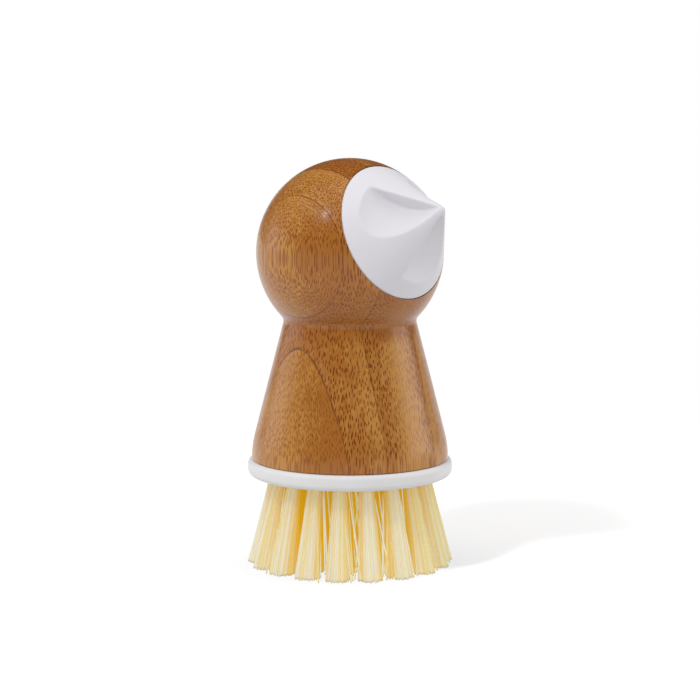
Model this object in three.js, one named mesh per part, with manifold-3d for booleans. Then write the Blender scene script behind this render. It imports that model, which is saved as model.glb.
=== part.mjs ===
// Round palm brush for dishes and vegetables: a handle turned from glued bamboo strips, a white
// three-fluted tool let into its ball, and a white block of pale bristle tufts under its skirt.
// Millimetres, +Z up. The origin lies on the handle's axis in the plane of the bristle tips, and
// +X is the horizontal direction in which the tool points.

import * as THREE from 'three';
import { mergeVertices, toCreasedNormals } from 'three/addons/utils/BufferGeometryUtils.js';
import Module from 'manifold-3d';

const wasm = await Module();
wasm.setup();

const { degToRad } = THREE.MathUtils;

// Clearances
const glueFilm = 0.1; // between glued flat faces
const seatClearance = 0.25; // round a spigot, a flange, a tuft root or a staple

// Bristles
const bristleLength = 24.95; // from the block's underside to the tips
const tuftCounts = [1, 6, 12, 18]; // row by row, from the middle outwards
const rowPitch = 6.73; // between rows, on the block's underside
const firstTuftAngle = degToRad(6.45);
const tipOverhang = 0.23; // outermost tips stand out this far past the ring
const tuftTipRadius = 3; // of one tuft, spread at its tips
const strandsInTuft = 10;
const strandRadius = 0.42;

// Tuft roots and staples
const tuftHoleRadius = 2.25;
const tuftHoleDepth = 6.9;
const sliceThickness = 1.2; // of the block's face that carries the strands
const foldThickness = 1; // of the filaments bent over a staple
const stapleThickness = 0.5;
const stapleHeight = 1.8;

// Tuft block
const ringRadius = 28.5;
const ringHeight = 4.5;
const ringLowerRound = 1.7;
const ringUpperRound = 1.3;
const tuftFieldMargin = 0.6; // plastic outside the outer row of holes
const blockSpigotHeight = 6;
const spigotChamfer = 0.8;

// Handle
const handleHeight = 83.4; // from its foot to the top of the ball
const ballRadius = 25.92;
const ringLedge = 1.1; // the ring stands out this far round the foot
const footTuckDepth = 0.9; // the flank turns in by this much at the foot
const footTuckHeight = 7;
const flankAngle = degToRad(14.46);
const neckFillet = 2.2;

// Bamboo strips, stacked along Y
const innerStripCount = 4; // between the first and the last glue plane
const firstStripDepth = 7.11; // of the first strip, midway between what ball and skirt leave of it
const lastStripNeckDepth = 3.67; // thickness of the last strip where it passes the neck

// Fluted tool
const toolElevation = degToRad(21.5);
const toolHalfAngle = degToRad(43.3); // of its cone, which touches the ball at the rim
const toolTipRadius = 1.3;
const toolFlange = 2; // let into the ball behind the rim
const toolSpigotRadius = 5.5;
const toolSpigotLength = 14;
const fluteCount = 3;
const firstFluteAngle = degToRad(96); // of a flute's straight wall, round the tool's axis
const fluteRadius = 14.7;
const fluteDepth = 3.9; // at the straight wall
const fluteCentre = 11.9; // from the cone's apex, along its surface
const fluteDip = degToRad(8); // the floor falls away from the wall

// Materials
const bamboo = { color: 0xa86e3f, roughness: 0.42, metalness: 0 };
const toolPlastic = { color: 0xe4e4e6, roughness: 0.4, metalness: 0 };
const blockPlastic = { color: 0xdadada, roughness: 0.45, metalness: 0 };
const nylon = { color: 0xe4d39d, roughness: 0.5, metalness: 0 };
const brassWire = { color: 0xc9b27a, roughness: 0.35, metalness: 0.9 };

// Places that follow from the sizes
const ringTop = bristleLength + ringHeight;
const foot = ringTop + glueFilm;
const footRadius = ringRadius - ringLedge;
const flankRadius = footRadius + footTuckDepth; // of the straight flank, carried down to the foot
const ballCentre = foot + handleHeight - ballRadius;
const tipFieldRadius = ringRadius + tipOverhang;
const outerRow = tuftCounts.length - 1;
const outerRowRadius = outerRow * rowPitch;
const tuftFieldRadius = outerRowRadius + tuftHoleRadius + tuftFieldMargin;
const rimHeight = ballRadius * Math.sin(toolHalfAngle); // along the tool's axis, from the ball's centre
const rimRadius = ballRadius * Math.cos(toolHalfAngle);
const coneApex = ballRadius / Math.sin(toolHalfAngle);
const reach = 2 * (handleHeight + bristleLength); // longer than any piece

// Fineness of the round shapes
const turnedSides = 48;
const ballSteps = 13;
const roundSteps = 3;
const strandSides = 3;
const holeSides = 6; // two flats face along the row, where a staple's ends lie
const fluteSides = 64;
const creaseAngle = degToRad(25); // sharper edges than this are drawn as edges

function solid(geometry) {
  const bare = geometry.clone();
  bare.deleteAttribute('normal');
  bare.deleteAttribute('uv');
  const merged = mergeVertices(bare);
  return new wasm.Manifold(new wasm.Mesh({
    numProp: 3,
    vertProperties: new Float32Array(merged.attributes.position.array),
    triVerts: new Uint32Array(merged.index.array),
  }));
}

function surface(body) {
  const { vertProperties, triVerts } = body.getMesh();
  const geometry = new THREE.BufferGeometry();
  geometry.setAttribute('position', new THREE.BufferAttribute(vertProperties, 3));
  geometry.setIndex(new THREE.BufferAttribute(triVerts, 1));
  return geometry;
}

// Points [radius, height] of an arc; angle 0 points away from the axis and a quarter turn points up
function arc(radius, height, size, from, to, steps) {
  return Array.from({ length: steps + 1 }, (_, i) => {
    const angle = from + (to - from) * i / steps;
    return [radius + size * Math.cos(angle), height + size * Math.sin(angle)];
  });
}

// Turns a profile that runs from the axis, round its outside and upwards, back to the axis
function turned(profile) {
  const points = profile.map(([radius, height]) => new THREE.Vector2(Math.max(radius, 0), height));
  return solid(new THREE.LatheGeometry(points, turnedSides).rotateX(Math.PI / 2));
}

function cylinder(radius, bottom, top) {
  return turned([[0, bottom], [radius, bottom], [radius, top], [0, top]]);
}

function box(min, max) {
  const bounds = new THREE.Box3(new THREE.Vector3(...min), new THREE.Vector3(...max));
  const size = bounds.getSize(new THREE.Vector3());
  const centre = bounds.getCenter(new THREE.Vector3());
  return new THREE.BoxGeometry(size.x, size.y, size.z).translate(centre.x, centre.y, centre.z);
}

function placed(body, matrix) {
  return solid(surface(body).applyMatrix4(matrix));
}

function joined(bodies) {
  return bodies.reduce((whole, body) => whole.add(body));
}

function piece(name, geometry, material) {
  const creased = toCreasedNormals(geometry, creaseAngle);
  const mesh = new THREE.Mesh(creased, new THREE.MeshStandardMaterial(material));
  mesh.name = name;
  return mesh;
}

// Handle: the fillet between flank and ball touches both, so its centre lies off each by its radius

const flankNormal = new THREE.Vector2(Math.cos(flankAngle), Math.sin(flankAngle));
const flankOffset = flankNormal.dot(new THREE.Vector2(flankRadius, foot)) + neckFillet;
const ballOffset = flankOffset - ballCentre * flankNormal.y;
const filletDrop = Math.sqrt((ballRadius + neckFillet) ** 2 - ballOffset ** 2);
const filletCentre = new THREE.Vector2(0, ballCentre)
  .addScaledVector(flankNormal, ballOffset)
  .addScaledVector(new THREE.Vector2(flankNormal.y, -flankNormal.x), filletDrop);
const neckRadius = filletCentre.x - neckFillet;
const neckHeight = filletCentre.y;

function turnedHandle() {
  const tuckTop = foot + footTuckHeight;
  const flankAt = (height) => flankRadius - (height - foot) * Math.tan(flankAngle);
  const tuck = new THREE.QuadraticBezierCurve(
    new THREE.Vector2(footRadius, foot),
    new THREE.Vector2(flankAt(foot + footTuckHeight / 2), foot + footTuckHeight / 2),
    new THREE.Vector2(flankAt(tuckTop), tuckTop),
  );
  const towardsBall = Math.atan2(ballCentre - filletCentre.y, -filletCentre.x);
  return turned([
    [0, foot],
    ...tuck.getPoints(roundSteps).map((point) => point.toArray()),
    ...arc(filletCentre.x, filletCentre.y, neckFillet, flankAngle + Math.PI, towardsBall, roundSteps),
    ...arc(0, ballCentre, ballRadius, towardsBall - Math.PI, Math.PI / 2, ballSteps).slice(1),
  ]);
}

const toolSeat = new THREE.Group();
toolSeat.position.z = ballCentre;
toolSeat.rotation.y = Math.PI / 2 - toolElevation;
toolSeat.updateMatrix();

const toolBack = rimHeight - toolFlange;

// What is cut out of the ball for the tool: a flat-bottomed recess and a blind bore
function toolPocket() {
  const recess = cylinder(rimRadius + seatClearance, toolBack - seatClearance, reach);
  const boreEnd = toolBack - toolSpigotLength - seatClearance;
  const bore = cylinder(toolSpigotRadius + seatClearance, boreEnd, rimHeight);
  return placed(recess.add(bore), toolSeat.matrix);
}

function blockSocket() {
  const depth = blockSpigotHeight + seatClearance;
  return cylinder(tuftFieldRadius + seatClearance, foot - depth, foot + depth);
}

// The handle cut along its glue planes. The first strip misses the neck, so turning leaves two pieces of it.
function bambooStrips() {
  const handle = turnedHandle().subtract(toolPocket()).subtract(blockSocket());
  const firstPlane = firstStripDepth - (ballRadius + flankRadius) / 2;
  const lastPlane = neckRadius - lastStripNeckDepth;
  const planes = Array.from({ length: innerStripCount + 1 }, (_, i) => (
    THREE.MathUtils.lerp(firstPlane, lastPlane, i / innerStripCount)));
  const cut = (name, near, far, from, to) => piece(name, surface(handle.intersect(solid(box(
    [-reach, near + glueFilm / 2, from],
    [reach, far - glueFilm / 2, to],
  )))), bamboo);
  return [
    cut('bamboo_strip_1_ball', -reach, firstPlane, neckHeight, reach),
    cut('bamboo_strip_1_skirt', -reach, firstPlane, -reach, neckHeight),
    ...planes.map((near, i) => cut(`bamboo_strip_${i + 2}`, near, planes[i + 1] ?? reach, -reach, reach)),
  ];
}

// Fluted tool, along its own axis with the ball's centre at its origin

function flute(turn) {
  const radial = new THREE.Vector3(Math.cos(turn), Math.sin(turn), 0);
  const axis = new THREE.Vector3(0, 0, 1);
  const downFlank = radial.clone().multiplyScalar(Math.sin(toolHalfAngle))
    .addScaledVector(axis, -Math.cos(toolHalfAngle));
  const outwards = radial.clone().multiplyScalar(Math.cos(toolHalfAngle))
    .addScaledVector(axis, Math.sin(toolHalfAngle));
  const sideways = axis.clone().cross(radial);
  const middle = new THREE.Vector3(0, 0, coneApex)
    .addScaledVector(downFlank, fluteCentre)
    .addScaledVector(outwards, fluteRadius - fluteDepth);
  const wall = new THREE.Matrix4().makeBasis(downFlank, sideways, outwards).setPosition(middle);
  const round = new THREE.CylinderGeometry(fluteRadius, fluteRadius, 2 * ballRadius, fluteSides);
  const sweep = solid(round.rotateX(-fluteDip).applyMatrix4(wall));
  const ahead = solid(box([-reach, 0, -reach], [reach, reach, reach]).applyMatrix4(wall));
  return sweep.intersect(ahead);
}

function flutedTool() {
  const tipCentre = coneApex - toolTipRadius / Math.sin(toolHalfAngle);
  const spigotEnd = toolBack - toolSpigotLength;
  const blank = turned([
    [0, spigotEnd],
    [toolSpigotRadius - spigotChamfer, spigotEnd],
    [toolSpigotRadius, spigotEnd + spigotChamfer],
    [toolSpigotRadius, toolBack],
    [rimRadius, toolBack],
    [rimRadius, rimHeight],
    ...arc(0, tipCentre, toolTipRadius, toolHalfAngle, Math.PI / 2, roundSteps),
  ]);
  const flutes = Array.from({ length: fluteCount }, (_, i) => (
    flute(firstFluteAngle + i * 2 * Math.PI / fluteCount)));
  return piece('fluted_tool', surface(blank.subtract(joined(flutes))), toolPlastic);
}

// Tufts: each stands in a hole that leans outwards, row by row

const rowNames = ['centre', 'inner', 'middle', 'outer'];

const leanOfRow = (row) => row / outerRow * (tipFieldRadius - tuftTipRadius - outerRowRadius) / bristleLength;

const tufts = tuftCounts.flatMap((count, row) => Array.from({ length: count }, (_, i) => {
  const angle = firstTuftAngle + i * 2 * Math.PI / count;
  const outward = new THREE.Vector2(Math.cos(angle), Math.sin(angle));
  return {
    row,
    number: i + 1,
    angle,
    root: outward.clone().multiplyScalar(row * rowPitch),
    lean: outward.clone().multiplyScalar(leanOfRow(row)),
  };
}));

// A prism with level ends and a corner towards turn; carried on, its axis passes through base at height 0
function leaning(radius, bottom, top, sides, base, lean, turn) {
  const prism = new THREE.CylinderGeometry(radius, radius, top - bottom, sides)
    .rotateX(Math.PI / 2)
    .rotateZ(turn + Math.PI / 2)
    .translate(0, 0, (top + bottom) / 2);
  prism.applyMatrix4(new THREE.Matrix4().makeShear(0, 0, 0, 0, lean.x, lean.y));
  return solid(prism.translate(base.x, base.y, 0));
}

// A leaning hole or bundle between two heights above the block's underside, its flats at the radius
function inBlock(tuft, radius, from, to) {
  const corner = radius / Math.cos(Math.PI / holeSides);
  const inwards = tuft.lean.clone().negate();
  const base = tuft.root.clone().addScaledVector(tuft.lean, bristleLength);
  return leaning(corner, bristleLength + from, bristleLength + to, holeSides, base, inwards, tuft.angle);
}

const stapleTop = tuftHoleDepth - seatClearance - foldThickness - seatClearance;
const stapleLength = 2 * (tuftHoleRadius - seatClearance);

function staplePlace(tuft) {
  const height = stapleTop - stapleHeight / 2;
  const centre = tuft.root.clone().addScaledVector(tuft.lean, -height);
  const place = new THREE.Group();
  place.position.set(centre.x, centre.y, bristleLength + height);
  place.rotation.set(0, -Math.atan(tuft.lean.length()), tuft.angle, 'ZYX');
  place.updateMatrix();
  return place;
}

function staple(tuft) {
  const place = staplePlace(tuft);
  const wire = new THREE.BoxGeometry(stapleThickness, stapleLength, stapleHeight);
  return place.add(piece(`staple_${rowNames[tuft.row]}_${tuft.number}`, wire, brassWire));
}

// The filaments of a tuft in its hole, bent over a channel that holds the staple
function tuftRoot(tuft) {
  const rootRadius = tuftHoleRadius - seatClearance;
  const plug = inBlock(tuft, rootRadius, sliceThickness / 2, tuftHoleDepth - seatClearance);
  const channel = new THREE.BoxGeometry(
    stapleThickness + 2 * seatClearance,
    4 * rootRadius,
    stapleHeight + 2 * seatClearance,
  );
  return plug.subtract(solid(channel.applyMatrix4(staplePlace(tuft).matrix)));
}

// Strands in a sunflower pattern, from the block's face down to tips cut level, spreading as they go
function strands(tuft) {
  const goldenAngle = Math.PI * (3 - Math.sqrt(5));
  const rootSpread = tuftHoleRadius - strandRadius;
  const tipSpread = tuftTipRadius - strandRadius;
  return Array.from({ length: strandsInTuft }, (_, i) => {
    const turn = tuft.angle + i * goldenAngle;
    const offset = new THREE.Vector2(Math.cos(turn), Math.sin(turn));
    offset.multiplyScalar(Math.sqrt(i / (strandsInTuft - 1)));
    const tip = tuft.root.clone()
      .addScaledVector(tuft.lean, bristleLength)
      .addScaledVector(offset, tipSpread);
    const lean = tuft.lean.clone().negate()
      .addScaledVector(offset, (rootSpread - tipSpread) / bristleLength);
    return leaning(strandRadius, 0, bristleLength + sliceThickness / 2, strandSides, tip, lean, turn);
  });
}

// The ring of the block's face that carries one row
function slice(row) {
  const inner = (row - 0.5) * rowPitch + seatClearance / 2;
  const outer = row === outerRow ? tuftFieldRadius : (row + 0.5) * rowPitch - seatClearance / 2;
  const disc = cylinder(outer, bristleLength, bristleLength + sliceThickness);
  return row === 0 ? disc : disc.subtract(cylinder(inner, 0, reach));
}

function tuftRow(row) {
  const inRow = tufts.filter((tuft) => tuft.row === row);
  const bundles = inRow.flatMap((tuft) => [tuftRoot(tuft), ...strands(tuft)]);
  return piece(`${rowNames[row]}_tufts`, surface(joined([slice(row), ...bundles])), nylon);
}

// Tuft block: the ring under the wood, with its spigot above and its blind tuft holes below

function tuftBlock() {
  const spigotTop = ringTop + blockSpigotHeight;
  const blank = turned([
    [0, bristleLength],
    ...arc(ringRadius - ringLowerRound, bristleLength + ringLowerRound, ringLowerRound,
      -Math.PI / 2, 0, roundSteps),
    ...arc(ringRadius - ringUpperRound, ringTop - ringUpperRound, ringUpperRound, 0, Math.PI / 2, roundSteps),
    [tuftFieldRadius, ringTop],
    [tuftFieldRadius, spigotTop - spigotChamfer],
    [tuftFieldRadius - spigotChamfer, spigotTop],
    [0, spigotTop],
  ]);
  const recessTop = bristleLength + sliceThickness + glueFilm;
  const recess = cylinder(tuftFieldRadius + seatClearance, bristleLength - ringHeight, recessTop);
  const holes = tufts.map((tuft) => inBlock(tuft, tuftHoleRadius, 0, tuftHoleDepth));
  return piece('tuft_block', surface(blank.subtract(joined([recess, ...holes]))), blockPlastic);
}

const brush = new THREE.Group();
toolSeat.add(flutedTool());
brush.add(
  ...bambooStrips(),
  toolSeat,
  tuftBlock(),
  ...tuftCounts.map((_, row) => tuftRow(row)),
  ...tufts.map(staple),
);

export default brush;
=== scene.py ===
"""Dresses a round palm brush: lacquered bamboo, a white fluted tool, a white tuft block and nylon tufts.

Lengths are metres in the part's own frame: +Z is up, the bristle tips lie at height 0 and the tool
points towards +X. The glued bamboo strips are stacked along Y.
"""

import math

import bpy
import numpy as np
from bpy.props import FloatProperty, FloatVectorProperty, IntProperty, PointerProperty
from bpy.types import Operator, Panel, PropertyGroup
from mathutils import Euler, Matrix, Vector


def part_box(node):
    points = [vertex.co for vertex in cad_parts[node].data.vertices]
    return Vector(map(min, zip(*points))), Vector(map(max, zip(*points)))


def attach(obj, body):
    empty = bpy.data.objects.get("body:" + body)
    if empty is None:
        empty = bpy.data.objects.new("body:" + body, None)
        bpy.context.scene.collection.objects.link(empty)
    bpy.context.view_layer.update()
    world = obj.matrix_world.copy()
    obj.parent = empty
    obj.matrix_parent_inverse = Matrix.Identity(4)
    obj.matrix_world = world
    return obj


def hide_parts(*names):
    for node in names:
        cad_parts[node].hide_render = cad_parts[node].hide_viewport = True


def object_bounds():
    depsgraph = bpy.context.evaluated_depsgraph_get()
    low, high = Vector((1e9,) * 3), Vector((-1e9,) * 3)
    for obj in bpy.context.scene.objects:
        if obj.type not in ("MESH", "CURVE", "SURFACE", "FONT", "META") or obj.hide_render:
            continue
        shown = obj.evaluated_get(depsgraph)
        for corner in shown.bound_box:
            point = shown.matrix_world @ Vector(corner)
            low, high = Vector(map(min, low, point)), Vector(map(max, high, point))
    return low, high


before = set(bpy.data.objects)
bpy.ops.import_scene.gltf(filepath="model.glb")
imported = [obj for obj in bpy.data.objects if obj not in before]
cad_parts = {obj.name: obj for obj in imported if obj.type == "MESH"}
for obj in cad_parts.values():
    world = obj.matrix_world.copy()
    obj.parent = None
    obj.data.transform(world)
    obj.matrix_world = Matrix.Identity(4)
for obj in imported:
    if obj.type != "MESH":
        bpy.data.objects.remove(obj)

bl_info = {
    "name": "Round palm brush",
    "version": (1, 0, 0),
    "blender": (4, 5, 0),
    "location": "View3D > Sidebar > Brush",
    "description": "Models and finishes the pieces of a round palm brush",
    "category": "Object",
}

MM = 0.001
UP = Vector((0, 0, 1))
ROWS = ("centre", "inner", "middle", "outer")
SOCKET_GAP = 0.25 * MM  # room for glue round the block's peg
KEY_DIRECTION = (-0.45, -0.49, 0.75)  # right, away and up, seen from the camera
LAMP_DISTANCE = 1.1
LAMP_AIM = Vector((0, 0, 60 * MM))

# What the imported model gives
CAD_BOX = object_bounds()
BLOCK_LOW, BLOCK_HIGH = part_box("tuft_block")
CORE_LOW, CORE_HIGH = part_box("bamboo_strip_4")  # on the axis, from the foot to the crown
GLUE_PLANES = [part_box(f"bamboo_strip_{number}")[0].y for number in range(2, 7)]
STAPLES = sorted(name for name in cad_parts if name.startswith("staple_"))
TUFTS_IN_ROW = [sum(name.startswith(f"staple_{row}_") for name in STAPLES) for row in ROWS]


# Settings

def length(name, description, millimetres):
    return FloatProperty(name=name, description=description, default=millimetres * MM,
                         min=0, precision=5, unit="LENGTH")


def angle(name, description, degrees):
    return FloatProperty(name=name, description=description, default=math.radians(degrees), subtype="ANGLE")


def share(name, description, default):
    return FloatProperty(name=name, description=description, default=default, min=0, max=1,
                         subtype="FACTOR")


def count(name, description, default):
    return IntProperty(name=name, description=description, default=default, min=1)


def linear(channel):
    """A colour channel, from 0 to 255, as an amount of light"""
    value = channel / 255
    return value / 12.92 if value <= 0.04045 else ((value + 0.055) / 1.055) ** 2.4


def colour(name, description, code):
    parts = (code >> 16 & 255, code >> 8 & 255, code & 255)
    return FloatVectorProperty(name=name, description=description, size=3, min=0, max=1,
                               default=tuple(linear(part) for part in parts), subtype="COLOR")


class HandleSettings(PropertyGroup):
    ball_radius: length("Ball radius", "Radius of the ball at the top", 25.92)
    foot_radius: length("Foot radius", "Radius of the wood where it meets the block", 27.4)
    tuck_depth: length("Tuck depth", "How far the flank turns in at the foot", 0.9)
    tuck_height: length("Tuck height", "Height over which the flank turns in", 7)
    flank_angle: angle("Flank angle", "Lean of the skirt's flank", 14.46)
    neck_fillet: length("Neck fillet", "Radius of the hollow between ball and skirt", 2.2)
    glue_film: length("Glue film", "Gap between two strips", 0.004)
    straw: colour("Straw", "Soft tissue of the bamboo", 0xBE853D)
    honey: colour("Honey", "Darker tissue near a culm's outside", 0xA4641E)
    bundle: colour("Bundle", "Fibre bundles, seen as dots and dashes", 0x7C3800)
    glue: colour("Glue", "Line between two strips", 0x562404)
    bundle_spacing: length("Bundle spacing", "Distance between fibre bundles", 0.63)


class ToolSettings(PropertyGroup):
    elevation: angle("Elevation", "Angle of the tool's axis above the horizontal", 21.5)
    half_angle: angle("Half angle", "Half angle of the cone", 43.3)
    tip_radius: length("Tip radius", "Rounding of the cone's tip", 1.3)
    flange: length("Flange", "Depth of the flange let into the ball", 2)
    spigot_radius: length("Spigot radius", "Radius of the peg behind the flange", 5.5)
    spigot_length: length("Spigot length", "Length of the peg behind the flange", 14)
    clearance: length("Clearance", "Joint between the tool and the wood", 0.2)
    flutes: count("Flutes", "Number of scraping flutes", 3)
    first_flute: angle("First flute", "Place of a flute's straight wall round the axis", 96)
    flute_radius: length("Flute radius", "Radius of a flute's hollow", 14.7)
    flute_depth: length("Flute depth", "Depth of a flute at its straight wall", 3.9)
    flute_centre: length("Flute centre", "From the cone's apex down to a flute's middle", 11.9)
    flute_dip: angle("Flute dip", "Fall of a flute's floor away from its wall", 8)
    softness: length("Softness", "Grain to which the moulded edges are rounded", 0.22)
    white: colour("White", "Colour of the plastic", 0xE0DEE3)


class BlockSettings(PropertyGroup):
    ring_height: length("Ring height", "Height of the ring that shows", 4.5)
    lower_round: length("Lower round", "Rounding of the ring's lower edge", 1.7)
    upper_round: length("Upper round", "Rounding of the ring's upper edge", 1.3)
    field_radius: length("Field radius", "Radius of the peg that carries the tufts", 23.04)
    chamfer: length("Chamfer", "Chamfer at the top of the peg", 0.8)
    hole_radius: length("Hole radius", "Radius of a tuft hole", 2.25)
    hole_depth: length("Hole depth", "Depth of a tuft hole", 6.9)
    white: colour("White", "Colour of the plastic", 0xE5E4E4)


class TuftSettings(PropertyGroup):
    row_pitch: length("Row pitch", "Distance between rows of tufts", 6.73)
    first_tuft: angle("First tuft", "Place of the first tuft of each row", 6.45)
    tip_spread: length("Tip spread", "Radius of a tuft at its tips, outwards", 3.8)
    tip_fan: length("Tip fan", "Radius of a tuft at its tips, along its row", 3.7)
    filaments: count("Filaments", "Filaments in one tuft", 96)
    filament_radius: length("Filament radius", "Half the thickness of a filament", 0.19)
    cream: colour("Cream", "Nylon in full light", 0xFDF7DC)
    straw: colour("Straw", "Nylon with light coming through it", 0xFCE8A0)
    # painted amber shade and glow, for the light that passes through the tufts and the shade deep between
    # them
    painted_amber_shade: colour("Amber", "Nylon deep between the tufts", 0xF6B608)
    # painted contact shade on the filaments' ends
    cut: colour("Cut", "Cut ends of the filaments", 0xA88C58)


class StageSettings(PropertyGroup):
    camera_distance: length("Camera distance", "Level distance of the camera from the axis", 650)
    camera_height: length("Camera height", "Height of the camera", 148.61)
    camera_turn: angle("Camera turn", "Direction in which the camera looks", 43.905)
    camera_pitch: angle("Camera pitch", "How far the camera looks down", 7.79)
    lens: FloatProperty(name="Lens", description="Focal length on a 36 mm frame", default=121.45,
                        unit="CAMERA")
    paper: colour("Paper", "Floor and background, as they are seen", 0xFFFFFF)
    bounce: colour("Bounce", "Floor, as it throws light back", 0xCECECE)
    shadow_strength: share("Shadow strength", "How strongly the floor shows the shadow", 0.95)


class BrushSettings(PropertyGroup):
    handle: PointerProperty(type=HandleSettings, name="Handle", description="Bamboo handle")
    tool: PointerProperty(type=ToolSettings, name="Tool", description="Fluted tool")
    block: PointerProperty(type=BlockSettings, name="Block", description="Tuft block")
    tufts: PointerProperty(type=TuftSettings, name="Tufts", description="Nylon tufts")
    stage: PointerProperty(type=StageSettings, name="Stage", description="Floor, lamps and camera")


# Modelling

def select_only(*objects):
    """Selects these objects alone and makes the first one active"""
    bpy.ops.object.select_all(action="DESELECT")
    for item in objects:
        item.select_set(True)
    bpy.context.view_layer.objects.active = objects[0]


def arc(radius, height, size, start, end, steps):
    """Points (radius, height) of an arc; angle 0 points away from the axis and a quarter turn points up"""
    turns = [start + (end - start) * step / steps for step in range(steps + 1)]
    return [(radius + size * math.cos(turn), height + size * math.sin(turn)) for turn in turns]


def turned(name, profile, steps):
    """Draws one vertex out along a profile and spins the line round the Z axis"""
    bpy.ops.object.select_all(action="DESELECT")
    bpy.ops.mesh.primitive_plane_add(size=MM)
    blank = bpy.context.object
    blank.name = name
    bpy.ops.object.mode_set(mode="EDIT")
    bpy.ops.mesh.select_all(action="SELECT")
    bpy.ops.mesh.merge(type="CENTER")
    points = [Vector((max(radius, 0), 0, height)) for radius, height in profile]
    bpy.ops.transform.translate(value=points[0])
    for here, there in zip(points, points[1:]):
        bpy.ops.mesh.extrude_region_move(TRANSFORM_OT_translate={"value": there - here})
    bpy.ops.mesh.select_all(action="SELECT")
    bpy.ops.mesh.spin(steps=steps, angle=math.tau, center=(0, 0, 0), axis=(0, 0, 1))
    bpy.ops.mesh.select_all(action="SELECT")
    bpy.ops.mesh.remove_doubles(threshold=0.002 * MM)
    bpy.ops.mesh.normals_make_consistent(inside=False)
    bpy.ops.object.mode_set(mode="OBJECT")
    return blank


def rod(radius, bottom, top, steps):
    """A turned cylinder on the Z axis"""
    return turned("rod", [(0, bottom), (radius, bottom), (radius, top), (0, top)], steps)


def slab(low, high):
    """A box between two corners"""
    bpy.ops.object.select_all(action="DESELECT")
    middle = (Vector(low) + Vector(high)) / 2
    bpy.ops.mesh.primitive_cube_add(size=1, location=middle, scale=Vector(high) - Vector(low))
    bpy.ops.object.transform_apply(location=True, rotation=True, scale=True)
    return bpy.context.object


def place(item, matrix):
    """Moves an object and applies the move to its mesh"""
    item.matrix_world = matrix
    select_only(item)
    bpy.ops.object.transform_apply(location=True, rotation=True, scale=True)
    return item


def copy_of(item, name):
    """Copies an object together with its mesh"""
    select_only(item)
    bpy.ops.object.duplicate(linked=False)
    bpy.context.object.name = name
    return bpy.context.object


def joined(items):
    """Joins objects into the first one"""
    select_only(*items)
    bpy.ops.object.join()
    return items[0]


def apply_modifier(item, kind, **settings):
    """Adds a modifier, sets it up and applies it"""
    select_only(item)
    modifier = item.modifiers.new(kind.lower(), kind)
    for key, value in settings.items():
        setattr(modifier, key, value)
    bpy.ops.object.modifier_apply(modifier=modifier.name)


def carve(item, cutter, operation="DIFFERENCE"):
    """Cuts one object with another, which is used up"""
    apply_modifier(item, "BOOLEAN", object=cutter, operation=operation, solver="EXACT")
    bpy.data.objects.remove(cutter)
    return item


def smooth(item, degrees):
    """Shades an object smooth, apart from edges sharper than an angle"""
    select_only(item)
    bpy.ops.object.shade_smooth_by_angle(angle=math.radians(degrees))


def settle(item, name, nodes, material):
    """Names a finished piece, gives it its material and ties it to the part"""
    if not item.data.polygons:
        raise RuntimeError(f"{name} has no faces")
    item.name = name
    item.data.name = name
    item.data.materials.clear()
    item.data.materials.append(material)
    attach(item, "root")
    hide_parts(*nodes)


def tool_seat(tool):
    """Carries the tool's own frame, with Z along its axis, to the ball's centre"""
    centre = Vector((0, 0, ball_centre()))
    return Matrix.Translation(centre) @ Euler((0, math.pi / 2 - tool.elevation, 0)).to_matrix().to_4x4()


def ball_centre():
    """Height of the ball's centre"""
    return CORE_HIGH.z - bpy.context.scene.brush.handle.ball_radius


# Shading

class Value:
    """A socket of a shader; arithmetic on it adds Math nodes"""

    def __init__(self, finish, socket):
        self.finish = finish
        self.socket = socket

    def output(self, name):
        return Value(self.finish, self.socket.node.outputs[name])

    def math(self, operation, *numbers):
        inputs = dict(enumerate(numbers))
        return self.finish.node("Math", inputs, operation=operation)

    def __add__(self, other):
        return self.math("ADD", self, other)

    def __radd__(self, other):
        return self.math("ADD", other, self)

    def __sub__(self, other):
        return self.math("SUBTRACT", self, other)

    def __rsub__(self, other):
        return self.math("SUBTRACT", other, self)

    def __mul__(self, other):
        return self.math("MULTIPLY", self, other)

    def __rmul__(self, other):
        return self.math("MULTIPLY", other, self)

    def __truediv__(self, other):
        return self.math("DIVIDE", self, other)

    def __rtruediv__(self, other):
        return self.math("DIVIDE", other, self)

    def __abs__(self):
        return self.math("ABSOLUTE", self)

    def __floor__(self):
        return self.math("FLOOR", self)

    def sine(self):
        return self.math("SINE", self)

    def least(self, other):
        return self.math("MINIMUM", self, other)

    def most(self, other):
        return self.math("MAXIMUM", self, other)


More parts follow.
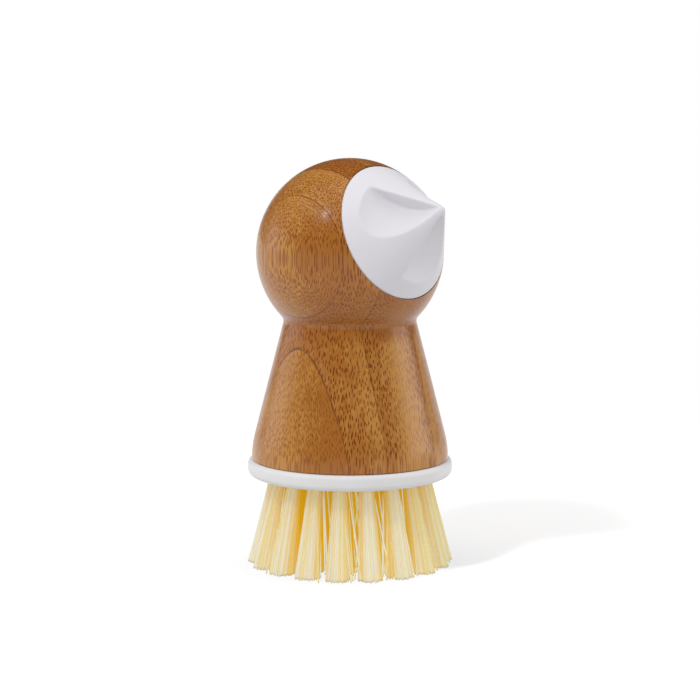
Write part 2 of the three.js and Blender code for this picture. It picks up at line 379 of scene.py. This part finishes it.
class Finish:
    """The nodes of a new material, or of a given node tree"""

    def __init__(self, name, tree=None):
        if tree is None:
            self.material = bpy.data.materials.new(name)
            self.material.use_nodes = True
            tree = self.material.node_tree
        self.tree = tree
        self.tree.nodes.clear()

    def node(self, kind, inputs=None, output=0, **settings):
        """Adds a node, sets it up, feeds its sockets and returns one of its outputs"""
        made = self.tree.nodes.new("ShaderNode" + kind)
        for key, value in settings.items():
            setattr(made, key, value)
        for key, value in (inputs or {}).items():
            if isinstance(value, Value):
                self.tree.links.new(value.socket, made.inputs[key])
            else:
                made.inputs[key].default_value = value
        return Value(self, made.outputs[output]) if made.outputs else None

    def millimetres(self):
        """Object coordinates in millimetres"""
        metres = self.node("TexCoord", output="Object")
        return self.node("VectorMath", {0: metres, 1: (1000, 1000, 1000)}, operation="MULTIPLY")

    def vector(self, x, y, z):
        return self.node("CombineXYZ", {0: x, 1: y, 2: z})

    def noise(self, vector, scale, detail=2.0, roughness=0.5):
        inputs = {"Vector": vector, "Scale": scale, "Detail": detail, "Roughness": roughness}
        return self.node("TexNoise", inputs)

    def blend(self, amount, first, second):
        """Mixes two colours"""
        inputs = {0: amount}
        for key, value in ((6, first), (7, second)):
            inputs[key] = value if isinstance(value, Value) else (*value, 1)
        return self.node("Mix", inputs, output=2, data_type="RGBA", clamp_factor=True)

    def ease(self, value, low, high):
        """Rises smoothly from 0 to 1 between two values"""
        inputs = {0: value, 1: low, 2: high, 3: 0.0, 4: 1.0}
        return self.node("MapRange", inputs, interpolation_type="SMOOTHSTEP")

    def surface(self, shader):
        self.node("OutputMaterial", {"Surface": shader})
        return self.material


def bamboo_finish(handle):
    """Lacquered bamboo, in millimetres

    Fibre bundles run up every strip, close and dark on its near side and sparse on its far side.
    """
    finish = Finish("lacquered_bamboo")
    point = finish.node("SeparateXYZ", {0: finish.millimetres()})
    x, y, z = point, point.output("Y"), point.output("Z")

    # Which strip a point lies in, and how far across it
    first = GLUE_PLANES[0] / MM
    last = len(GLUE_PLANES) - 1
    pitch = (GLUE_PLANES[-1] - GLUE_PLANES[0]) / MM / last
    stack = (y - first) / pitch
    strip = math.floor(stack).most(-1).least(last)
    across = stack - strip
    inner = (strip + 1).least(1)  # 0 in the first strip, 1 in the others
    later = strip.most(0).least(1)  # 0 in the first two strips, 1 in the others
    back = (strip - 1).most(0).least(1)  # 0 in the first three strips, 1 in the others
    across = across + back * (1 - 2 * across)  # these are glued in the other way round
    lot = finish.node("TexWhiteNoise", {"W": strip + 3.7}, output="Color", noise_dimensions="1D")
    lot_shift = finish.node("SeparateColor", {0: lot})
    lot_tone = 0.5 + 0.5 * (strip * 2.4 + 0.55).sine()

    # Fibres sway a little on their way up
    sway = finish.noise(finish.vector(strip * 5.3, x * 0.04, z * 0.035), 1.0, detail=1.0)
    along = finish.vector(x + sway * 2.2 + lot_shift * 90, y + sway * 0.9, z)
    fibre = finish.node("VectorMath", {0: along, 1: (1, 1, 0.02)}, operation="MULTIPLY")

    # Bundles run up without end, so they show as dots, dashes or streaks
    sparse = finish.ease(across, 0.15, 1.0)
    scale = MM / handle.bundle_spacing * (1.25 - 0.25 * inner)
    cells = finish.node("TexVoronoi", {"Vector": along, "Scale": scale, "Randomness": 0.75},
                        voronoi_dimensions="2D", feature="F1")
    cell_lot = finish.node("SeparateColor", {0: cells.output("Color")})
    crown = finish.ease(z, 92.0, 106.0)
    size = 0.225 + 0.09 * cell_lot - 0.03 * sparse + 0.1 * crown * later
    spot = 1 - finish.ease(cells.output("Distance") / size, 0.85, 1.15)
    own_height = finish.vector(cell_lot.output(1) * 60, cell_lot * 60, z * 0.12)
    fading = finish.noise(own_height, 1.0, detail=0.0)
    fade = (0.25 * inner + 0.4 * later) * (1 - crown)
    strength = (0.65 + 0.3 * finish.ease(z, 60.0, 76.0)).most(inner)
    depth = strength * (1 - fade * sparse) * finish.ease(fading, 0.1, 0.4)
    bundle = spot * depth

    # Fibre streaks and clouds; the first strip darkens towards +X, the later strips' crown is darker, and
    # painted shade darkens the ball's underside by the neck
    upper = finish.ease(z, 60.0, 76.0) * (1 - finish.ease(z, 88.0, 102.0))
    fine = finish.noise(fibre, 2.6, detail=3.0, roughness=0.6)
    streak = finish.noise(fibre, 0.7, detail=2.0)
    cloud = finish.noise(along, 0.06, detail=1.0)
    ends = (0.75 * later - 0.4 * back - 0.08 * (inner - later)) * crown
    # Painted shade: the strips after the first are darkened under the ball, down to the neck
    underside = finish.ease(z, 62.0, 68.0) * (1 - finish.ease(z, 74.0, 86.0))
    painted_underside_shade = (0.2 * inner + 0.3 * later) * underside
    flank = (1 - inner) * finish.ease(x, 0.0, 16.0)
    thinned = (0.16 * inner + 0.2 * later) * sparse
    tissue = (1.2 - 0.4 * inner) * fine + 0.5 * streak + 0.35 * cloud + 0.12 * lot_tone
    tissue = tissue - 0.27 * (1 - inner) - thinned
    tissue = tissue + 0.38 * flank + 0.04 * upper + painted_underside_shade + ends
    base = finish.blend(finish.ease(tissue, 0.6, 1.03), handle.straw, handle.honey)
    marked = finish.blend(bundle, base, handle.bundle)

    # Glue lines, broken here and there and fainter towards the back
    line = math.floor(stack.most(0).least(last) + 0.5)
    nearest = abs(stack - line) * pitch
    broken = finish.ease(finish.noise(finish.vector(x, line * 9, z), 0.12, detail=2.0), 0.3, 0.65)
    clear = 1 - 0.6 * (line - 1).most(0).least(1)
    hidden = finish.ease(x, 4.0, 11.0) * (1 - finish.ease(abs(z - 88), 6.0, 11.0))  # beside the tool
    seam = (1 - finish.ease(nearest, 0.04, 0.14)) * (0.3 + 0.45 * broken)
    seam = seam * clear * (1 - 0.75 * hidden)
    painted = finish.blend(seam, marked, handle.glue)

    grain = fine * 0.5 - bundle
    bump = finish.node("Bump", {"Strength": 0.3, "Distance": 0.02 * MM, "Height": grain})
    shader = finish.node("BsdfPrincipled", {
        "Base Color": painted,
        "Roughness": 0.22 + 0.14 * fine,
        "Specular IOR Level": 0.34,
        "Coat Weight": 0.22,
        "Coat Roughness": 0.08,
        "Normal": bump,
    })
    return finish.surface(shader)


def plastic_finish(name, white, grain):
    """Moulded white plastic with a fine matt grain and slight clouding"""
    finish = Finish(name)
    point = finish.millimetres()
    pitting = finish.noise(point, grain, detail=2.0)
    cloud = finish.noise(point, 0.12, detail=2.0)
    dull = [part * 0.97 for part in white]
    bright = [min(part * 1.02, 1) for part in white]
    tint = finish.blend(cloud, dull, bright)
    bump = finish.node("Bump", {"Strength": 0.12, "Distance": 0.02 * MM, "Height": pitting})
    shader = finish.node("BsdfPrincipled", {
        "Base Color": tint,
        "Roughness": 0.36 + 0.16 * pitting,
        "Specular IOR Level": 0.4,
        "Normal": bump,
    })
    return finish.surface(shader)


def nylon_finish(tufts):
    """Translucent nylon filaments: cream where light falls on them, with painted amber shade and glow deep
    between the tufts and painted shade on the cut ends
    """
    finish = Finish("cream_nylon")
    marks = finish.node("Attribute", output="Color", attribute_name="filament")
    mark = finish.node("SeparateColor", {0: marks})
    depth, lot, run = mark, mark.output(1), mark.output(2)
    # Painted shade: amber follows the painted depth mark between and inside the tufts, and the cut colour
    # darkens the very ends as painted contact shade
    layers = ((finish.ease(lot, 0.2, 0.8), tufts.cream), (depth, tufts.painted_amber_shade),
              (0.5 * finish.ease(run, 0.97, 1.0), tufts.cut))
    tint = tufts.straw
    glow = finish.node("BsdfTranslucent", {"Color": (*tufts.straw, 1)})
    for amount, shade in layers:
        tint = finish.blend(amount, tint, shade)
        lit = finish.node("BsdfTranslucent", {"Color": (*shade, 1)})
        glow = finish.node("MixShader", {0: amount, 1: glow, 2: lit})
    gloss = finish.node("BsdfPrincipled", {
        "Base Color": tint,
        "Roughness": 0.32 + 0.12 * lot,
        "Specular IOR Level": 0.25,
    })
    return finish.surface(finish.node("MixShader", {0: 0.5, 1: gloss, 2: glow}))


def wire_finish():
    """Drawn brass wire with a fine mottle"""
    finish = Finish("brass_wire")
    mottle = finish.noise(finish.millimetres(), 6.0, detail=3.0)
    shader = finish.node("BsdfPrincipled", {
        "Base Color": finish.blend(mottle, (0.62, 0.46, 0.2), (0.5, 0.36, 0.15)),
        "Metallic": 1.0,
        "Roughness": 0.28 + 0.2 * mottle,
    })
    return finish.surface(shader)


def paper_finish(stage):
    """White paper: camera, gloss and glass see it white, with the brush's shadow on it"""
    finish = Finish("white_paper")
    path = finish.node("LightPath", output="Is Camera Ray")
    seen = path.most(path.output("Is Glossy Ray")).most(path.output("Is Transmission Ray"))
    point = finish.node("TexCoord", output="Object")
    far = finish.node("VectorMath", {0: point}, output="Value", operation="LENGTH")
    white = finish.node("Emission", {"Color": (*stage.paper, 1), "Strength": 1.0})
    lit = finish.node("BsdfDiffuse", {"Color": (*stage.paper, 1)})
    shaded = stage.shadow_strength * (1 - finish.ease(far, 0.15, 0.3))
    shown = finish.node("MixShader", {0: shaded, 1: white, 2: lit})
    matt = finish.node("BsdfDiffuse", {"Color": (*stage.bounce, 1)})
    return finish.surface(finish.node("MixShader", {0: seen, 1: matt, 2: shown}))


# Pieces

class BRUSH_OT_handle(Operator):
    """Turns the handle, cuts its recesses and parts it into its glued strips"""
    bl_idname = "brush.handle"
    bl_label = "Bamboo handle"

    def execute(self, context):
        brush = context.scene.brush
        blank, neck = self.turn_blank(brush.handle)
        carve(blank, self.tool_pocket(brush.tool, brush.handle))
        socket = brush.block.field_radius + SOCKET_GAP
        depth = BLOCK_HIGH.z - CORE_LOW.z + SOCKET_GAP
        carve(blank, rod(socket, CORE_LOW.z - depth, CORE_LOW.z + depth, steps=96))
        material = bamboo_finish(brush.handle)
        film = brush.handle.glue_film
        reach = CAD_BOX[1].z  # up to the crown, and past the handle's sides
        edges = [-reach, *GLUE_PLANES, reach]
        cuts = [("bamboo_strip_1_ball", edges[0], edges[1], neck, reach),
                ("bamboo_strip_1_skirt", edges[0], edges[1], 0, neck)]
        cuts += [(f"bamboo_strip_{index + 1}", edges[index], edges[index + 1], 0, reach)
                 for index in range(1, len(edges) - 1)]
        for name, near, far, low, high in cuts:
            strip = copy_of(blank, name)
            carve(strip, slab((-reach, near, low), (reach, far - film, high)), "INTERSECT")
            smooth(strip, degrees=32)
            settle(strip, "turned_" + name, [name], material)
        bpy.data.objects.remove(blank)
        return {"FINISHED"}

    def turn_blank(self, handle):
        """The handle before it is cut, and the height of its neck"""
        foot = CORE_LOW.z
        ball = ball_centre()
        slope = handle.flank_angle
        flank = handle.foot_radius + handle.tuck_depth
        normal = Vector((math.cos(slope), math.sin(slope)))
        offset = normal.dot(Vector((flank, foot - ball))) + handle.neck_fillet
        drop = math.sqrt((handle.ball_radius + handle.neck_fillet) ** 2 - offset ** 2)
        neck = Vector((0, ball)) + normal * offset + Vector((normal.y, -normal.x)) * drop
        inwards = math.atan2(ball - neck.y, -neck.x)

        def flank_at(rise):
            return Vector((flank - rise * math.tan(slope), foot + rise))

        start = Vector((handle.foot_radius, foot))
        bend = flank_at(handle.tuck_height / 2)
        end = flank_at(handle.tuck_height)
        tuck = [start * (1 - t) ** 2 + bend * 2 * t * (1 - t) + end * t * t
                for t in np.linspace(0.02, 1, 13)]
        broken_edge = 0.25 * MM
        profile = [(0, foot), (handle.foot_radius - broken_edge, foot)]
        profile += [tuple(point) for point in tuck]
        profile += arc(neck.x, neck.y, handle.neck_fillet, slope + math.pi, inwards, steps=10)
        profile += arc(0, ball, handle.ball_radius, inwards - math.pi, math.pi / 2, steps=64)[1:]
        return turned("handle", profile, steps=180), neck.y

    def tool_pocket(self, tool, handle):
        """A cutter for the recess and the bore that hold the tool"""
        rim = handle.ball_radius * math.cos(tool.half_angle) + tool.clearance
        back = handle.ball_radius * math.sin(tool.half_angle) - tool.flange - tool.clearance
        bore = tool.spigot_radius + tool.clearance
        end = back - tool.spigot_length
        reach = 2 * handle.ball_radius
        profile = [(0, end), (bore, end), (bore, back), (rim, back), (rim, reach), (0, reach)]
        return place(turned("pocket", profile, steps=144), tool_seat(tool))


class BRUSH_OT_tool(Operator):
    """Turns the tool's cone, hollows its flutes and softens its moulded edges"""
    bl_idname = "brush.tool"
    bl_label = "Fluted tool"

    def execute(self, context):
        tool = context.scene.brush.tool
        ball = context.scene.brush.handle.ball_radius
        rim = ball * math.sin(tool.half_angle)
        rim_radius = ball * math.cos(tool.half_angle)
        apex = ball / math.sin(tool.half_angle)
        back = rim - tool.flange
        end = back - tool.spigot_length
        chamfer = 0.8 * MM
        profile = [(0, end), (tool.spigot_radius - chamfer, end), (tool.spigot_radius, end + chamfer),
                   (tool.spigot_radius, back), (rim_radius, back), (rim_radius, rim)]
        tip = apex - tool.tip_radius / math.sin(tool.half_angle)
        profile += arc(0, tip, tool.tip_radius, tool.half_angle, math.pi / 2, steps=8)
        cone = turned("tool", profile, steps=144)
        for index in range(tool.flutes):
            carve(cone, self.flute(tool, apex, tool.first_flute + index * math.tau / tool.flutes))
        apply_modifier(cone, "REMESH", mode="VOXEL", voxel_size=tool.softness)
        apply_modifier(cone, "SMOOTH", factor=0.5, iterations=14)
        smooth(cone, degrees=60)
        place(cone, tool_seat(tool))
        settle(cone, "moulded_tool", ["fluted_tool"],
               plastic_finish("tool_plastic_white", tool.white, grain=3.0))
        return {"FINISHED"}

    def flute(self, tool, apex, turn):
        """A round hollow with one straight wall, along which it is deepest"""
        radial = Vector((math.cos(turn), math.sin(turn), 0))
        down = radial * math.sin(tool.half_angle) - UP * math.cos(tool.half_angle)
        out = radial * math.cos(tool.half_angle) + UP * math.sin(tool.half_angle)
        side = UP.cross(radial)
        middle = UP * apex + down * tool.flute_centre + out * (tool.flute_radius - tool.flute_depth)
        wall = Matrix((down, side, out)).transposed().to_4x4()
        wall.translation = middle
        half = 25 * MM  # past the cone at both ends
        sweep = rod(tool.flute_radius, -half, half, steps=128)
        lie = Matrix.Rotation(math.pi / 2 - tool.flute_dip, 4, "X")
        place(sweep, wall @ lie)
        ahead = place(slab((-2 * half, 0, -2 * half), (2 * half, 2 * half, 2 * half)), wall)
        return carve(sweep, ahead, "INTERSECT")


def tuft_rows(context):
    """For every row its tufts: place on the block's underside, outward direction and lean"""
    brush = context.scene.brush
    outer = len(ROWS) - 1
    tip_radius = 3 * MM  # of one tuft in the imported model
    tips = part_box("outer_tufts")[1].x - tip_radius
    lean = (tips - outer * brush.tufts.row_pitch) / BLOCK_LOW.z
    for row, number in enumerate(TUFTS_IN_ROW):
        turns = [brush.tufts.first_tuft + index * math.tau / number for index in range(number)]
        outward = [Vector((math.cos(turn), math.sin(turn), 0)) for turn in turns]
        yield [(way * row * brush.tufts.row_pitch, way, lean * row / outer) for way in outward]


class BRUSH_OT_block(Operator):
    """Turns the tuft block and drills its leaning tuft holes"""
    bl_idname = "brush.block"
    bl_label = "Tuft block"

    def execute(self, context):
        block = context.scene.brush.block
        radius, low = BLOCK_HIGH.x, BLOCK_LOW.z
        top = low + block.ring_height
        peg = BLOCK_HIGH.z
        lower, upper = block.lower_round, block.upper_round
        profile = [(0, low)]
        profile += arc(radius - lower, low + lower, lower, -math.pi / 2, 0, steps=10)
        profile += arc(radius - upper, top - upper, upper, 0, math.pi / 2, steps=10)
        profile += [(block.field_radius, top), (block.field_radius, peg - block.chamfer),
                    (block.field_radius - block.chamfer, peg), (0, peg)]
        ring = turned("block", profile, steps=144)
        drill = rod(block.hole_radius, -block.hole_depth, block.hole_depth, steps=20)
        bits = []
        for row in tuft_rows(context):
            for foot, way, lean in row:
                bit = copy_of(drill, "bit")
                tilt = (UP - way * lean).to_track_quat("Z", "Y").to_matrix().to_4x4()
                bits.append(place(bit, Matrix.Translation(foot + UP * low) @ tilt))
        bpy.data.objects.remove(drill)
        carve(ring, joined(bits))
        smooth(ring, degrees=35)
        settle(ring, "moulded_block", ["tuft_block"],
               plastic_finish("block_plastic_white", block.white, grain=2.4))
        return {"FINISHED"}


class BRUSH_OT_tufts(Operator):
    """Models one filament and sets copies of it, tuft by tuft and row by row"""
    bl_idname = "brush.tufts"
    bl_label = "Nylon tufts"

    def execute(self, context):
        brush = context.scene.brush
        tufts = brush.tufts
        shape, faces = self.filament()
        material = nylon_finish(tufts)
        chance = np.random.default_rng(seed=37)
        for row, places in enumerate(tuft_rows(context)):
            sets = [self.tuft(brush, shape, row, *spot, chance) for spot in places]
            points = np.concatenate([points for points, _ in sets])
            marks = np.concatenate([marks for _, marks in sets])
            copies = len(points) // len(shape)
            starts = np.arange(copies)[:, None] * len(shape)
            corners = (starts + np.concatenate(faces)[None, :]).ravel()
            sizes = np.tile([len(face) for face in faces], copies)
            mesh = bpy.data.meshes.new(ROWS[row])
            mesh.vertices.add(len(points))
            mesh.vertices.foreach_set("co", points.ravel())
            mesh.loops.add(len(corners))
            mesh.loops.foreach_set("vertex_index", corners)
            mesh.polygons.add(len(sizes))
            mesh.polygons.foreach_set("loop_start", np.concatenate([[0], np.cumsum(sizes)[:-1]]))
            mesh.update(calc_edges=True)
            mesh.validate()
            # the filament colour attribute holds the painted depth shade, a random lot and the run along
            # the filament
            attribute = mesh.attributes.new("filament", "FLOAT_COLOR", "POINT")
            attribute.data.foreach_set("color", marks.ravel())
            item = bpy.data.objects.new(ROWS[row], mesh)
            context.scene.collection.objects.link(item)
            smooth(item, degrees=70)
            item.visible_shadow = False  # nylon lets light through to the filaments behind
            item.visible_diffuse = False
            item.visible_transmission = False
            settle(item, f"{ROWS[row]}_filaments", [f"{ROWS[row]}_tufts"], material)
        return {"FINISHED"}

    def filament(self):
        """One filament of unit radius and unit length: a six-sided rod with a rounded end at height 1"""
        bpy.ops.object.select_all(action="DESELECT")
        bpy.ops.mesh.primitive_circle_add(vertices=6, radius=1)
        item = bpy.context.object
        bpy.ops.object.mode_set(mode="EDIT")
        bpy.ops.mesh.select_all(action="SELECT")
        for rise in (0.35, 0.35, 0.294):
            bpy.ops.mesh.extrude_region_move(TRANSFORM_OT_translate={"value": (0, 0, rise)})
        bpy.ops.mesh.extrude_region_move(TRANSFORM_OT_translate={"value": (0, 0, 0.006)})
        bpy.ops.transform.resize(value=(0.62, 0.62, 1), center_override=(0, 0, 1))
        bpy.ops.mesh.edge_face_add()
        bpy.ops.mesh.select_all(action="DESELECT")
        bpy.ops.mesh.select_non_manifold()
        bpy.ops.mesh.edge_face_add()
        bpy.ops.mesh.select_all(action="SELECT")
        bpy.ops.mesh.normals_make_consistent(inside=False)
        bpy.ops.object.mode_set(mode="OBJECT")
        shape = np.array([tuple(vertex.co) for vertex in item.data.vertices])
        faces = [list(face.vertices) for face in item.data.polygons]
        bpy.data.objects.remove(item)
        return shape, faces

    def tuft(self, brush, shape, row, foot, way, lean, chance):
        """Points and colour marks of one tuft's filaments"""
        tufts = brush.tufts
        number = tufts.filaments
        index = np.arange(number)
        turn = index * math.pi * (3 - math.sqrt(5)) + chance.uniform(0, math.tau)
        disc = np.stack([np.cos(turn), np.sin(turn)], 1) * np.sqrt((index + 0.5) / number)[:, None]
        axes = np.array([[way.x, way.y], [-way.y, way.x]])  # outwards and along the row
        astray = chance.random(number) < 0.05  # one in twenty stands off from its tuft
        thin = tufts.filament_radius
        root = disc * (brush.block.hole_radius - thin) * 0.92  # clear of the hole's wall
        tip = disc * (np.array([tufts.tip_spread, tufts.tip_fan]) - thin)
        tip += chance.normal(0, 0.06 * MM, (number, 2))
        tip[:, 1] += astray * np.sign(disc[:, 1]) * chance.uniform(0.8, 4.2, number) * MM
        bow = chance.normal(0, 0.02 * MM, (number, 2)) - disc * 0.05 * MM
        sunk = 2 * MM  # filaments start this far up their hole
        foot = np.array([foot.x, foot.y])
        root = foot + root @ axes - axes[0] * lean * sunk
        tip = foot + tip @ axes + axes[0] * lean * BLOCK_LOW.z
        bow = bow @ axes
        run = shape[:, 2]
        path = root[:, None] * (1 - run)[None, :, None] + tip[:, None] * run[None, :, None]
        path = path + bow[:, None] * (4 * run * (1 - run))[None, :, None]
        path = path + shape[None, :, :2] * thin
        top = BLOCK_LOW.z + sunk
        cut = np.abs(chance.normal(0, 0.12 * MM, number))
        height = top + (cut - top)[:, None] * run[None, :]
        points = np.concatenate([path, height[:, :, None]], 2).reshape(-1, 3)

        # Depth: how far light has to come through other filaments, painted into the colour as amber shade
        # and glow; this painted shade deepens towards the roots, under the ring, and eases towards the tips
        if row == len(ROWS) - 1:
            painted_depth = 0.68 - 0.1 * np.linalg.norm(disc, axis=1) - 0.66 * disc[:, 0]
        else:
            painted_depth = np.full(number, 1.1)
        painted_depth = np.where(astray, 0, painted_depth)[:, None] * (1 - 0.2 * run ** 4)[None, :]
        painted_depth = painted_depth + (0.3 * (1 - run) ** 2)[None, :]
        lots = np.repeat(chance.random((number, 1)), len(shape), 1)
        runs = np.broadcast_to(run, lots.shape)
        marks = np.stack([np.clip(painted_depth, 0, 1), lots, runs, np.ones_like(lots)], 2)
        return points, marks.reshape(-1, 4)


class BRUSH_OT_staples(Operator):
    """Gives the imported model's own staples their brass"""
    bl_idname = "brush.staples"
    bl_label = "Staples"

    def execute(self, context):
        material = wire_finish()
        for name in STAPLES:
            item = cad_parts[name]
            item.data.materials.clear()
            item.data.materials.append(material)
        return {"FINISHED"}


class BRUSH_OT_stage(Operator):
    """Lays the white floor, hangs the soft lamps and sets up the camera"""
    bl_idname = "brush.stage"
    bl_label = "Stage"

    def execute(self, context):
        stage = context.scene.brush.stage
        self.right = Vector((math.cos(stage.camera_turn), math.sin(stage.camera_turn), 0))
        self.away = Vector((-self.right.y, self.right.x, 0))
        bpy.ops.object.select_all(action="DESELECT")
        bpy.ops.mesh.primitive_plane_add(size=60)
        floor = context.object
        floor.name = "paper_floor"
        floor.data.materials.append(paper_finish(stage))
        self.background(context, stage)
        key = self.lamp("key_lamp", KEY_DIRECTION, size=(0.12, 0.2), watts=2.35)
        key.visible_glossy = False  # the strip lamp makes the highlight
        self.lamp("strip_lamp", KEY_DIRECTION, size=(0.045, 0.14), watts=1.1)
        camera = bpy.data.cameras.new("camera")
        camera.lens = stage.lens
        camera.clip_end = 100
        viewer = bpy.data.objects.new("camera", camera)
        viewer.location = -self.away * stage.camera_distance + UP * stage.camera_height
        viewer.rotation_euler = (math.pi / 2 - stage.camera_pitch, 0, stage.camera_turn)
        context.scene.collection.objects.link(viewer)
        context.scene.camera = viewer
        context.scene.view_settings.view_transform = "Standard"
        return {"FINISHED"}

    def background(self, context, stage):
        """White to camera and glass, a soft tent to matt surfaces, cards and a dark front to gloss"""
        world = bpy.data.worlds.new("studio")
        world.use_nodes = True
        context.scene.world = world
        finish = Finish("studio", world.node_tree)
        way = finish.node("TexCoord", output="Generated")
        level = finish.node("VectorMath", {0: way, 1: (1, 1, 0)}, operation="MULTIPLY")
        level = finish.node("VectorMath", {0: level}, operation="NORMALIZE")
        up = finish.node("SeparateXYZ", {0: way}, output="Z")

        def facing(direction, aim):
            inputs = {0: direction, 1: aim}
            return finish.node("VectorMath", inputs, output="Value", operation="DOT_PRODUCT")

        def towards(right, away, low, high):
            """Rises from 0 to 1 towards a level direction, given as right and away, seen from the camera"""
            aim = self.seen_from_camera((right, away, 0))
            return finish.ease(facing(level, aim), low, high)

        # Cards for gloss, with a glow along the horizon on the camera's side
        low = 1 - finish.ease(up, 0.02, 0.2)
        upright = 1 - finish.ease(up, 0.1, 0.5)
        sides = 1.4 * towards(-1, 0.3, 0.9, 0.985) + 2.5 * towards(1, 0.09, 0.9, 0.985)
        above = finish.ease(up, 0.6, 0.7) * (1 - finish.ease(facing(way, self.away), 0.1, 0.35))
        rear = 0.1 * towards(0, 1, 0.5, 0.85) + 0.2 * towards(0.45, 0.9, 0.93, 0.985)
        haze = 0.5 * (1 - finish.ease(up, 0.0, 0.3)) * (1 - towards(0, 1, -0.5, 0.2))
        cards = 0.06 + 0.6 * above + low * rear + upright * sides + haze

        # Gloss sees the white background only straight behind the brush
        rays = finish.node("LightPath", output="Is Camera Ray")
        glossy = rays.output("Is Glossy Ray")
        backdrop = low * towards(0, 1, 0.9, 0.98)
        tent = 1.02 - 0.36 * towards(0, -1, 0.0, 0.9) + 0.2 * towards(1, 0, 0.0, 0.9)
        light = finish.node("Mix", {0: glossy, 2: tent, 3: cards}, output=0)
        studio = finish.node("Background", {"Color": (1, 1, 1, 1), "Strength": light})
        white = finish.node("Background", {"Color": (*stage.paper, 1), "Strength": 1.0})
        seen = rays.most(rays.output("Is Transmission Ray")).most(glossy * backdrop)
        finish.node("OutputWorld", {"Surface": finish.node("MixShader", {0: seen, 1: studio, 2: white})})

    def seen_from_camera(self, way):
        """A direction given as right, away and up"""
        return (self.right * way[0] + self.away * way[1] + UP * way[2]).normalized()

    def lamp(self, name, way, size, watts):
        """An area lamp; its direction is given as right, away and up, seen from the camera"""
        data = bpy.data.lights.new(name, "AREA")
        data.shape = "RECTANGLE"
        data.size, data.size_y = size
        data.energy = watts
        item = bpy.data.objects.new(name, data)
        direction = self.seen_from_camera(way)
        item.location = LAMP_AIM + direction * LAMP_DISTANCE
        item.rotation_euler = direction.to_track_quat("Z", "Y").to_euler()
        bpy.context.scene.collection.objects.link(item)
        return item


class BRUSH_PT_panel(Panel):
    """Lists the brush's pieces"""
    bl_idname = "BRUSH_PT_panel"
    bl_label = "Round palm brush"
    bl_space_type = "VIEW_3D"
    bl_region_type = "UI"
    bl_category = "Brush"

    def draw(self, context):
        for operator in OPERATORS:
            self.layout.operator(operator.bl_idname)


OPERATORS = (BRUSH_OT_stage, BRUSH_OT_handle, BRUSH_OT_tool, BRUSH_OT_block, BRUSH_OT_tufts,
             BRUSH_OT_staples)
SETTINGS = (HandleSettings, ToolSettings, BlockSettings, TuftSettings, StageSettings, BrushSettings)


def register():
    for item in SETTINGS + OPERATORS + (BRUSH_PT_panel,):
        bpy.utils.register_class(item)
    bpy.types.Scene.brush = PointerProperty(type=BrushSettings)


def unregister():
    del bpy.types.Scene.brush
    for item in reversed(SETTINGS + OPERATORS + (BRUSH_PT_panel,)):
        bpy.utils.unregister_class(item)


def main():
    register()
    bpy.ops.brush.stage()
    bpy.ops.brush.handle()
    bpy.ops.brush.tool()
    bpy.ops.brush.block()
    bpy.ops.brush.tufts()
    bpy.ops.brush.staples()


if __name__ == "__main__":
    main()
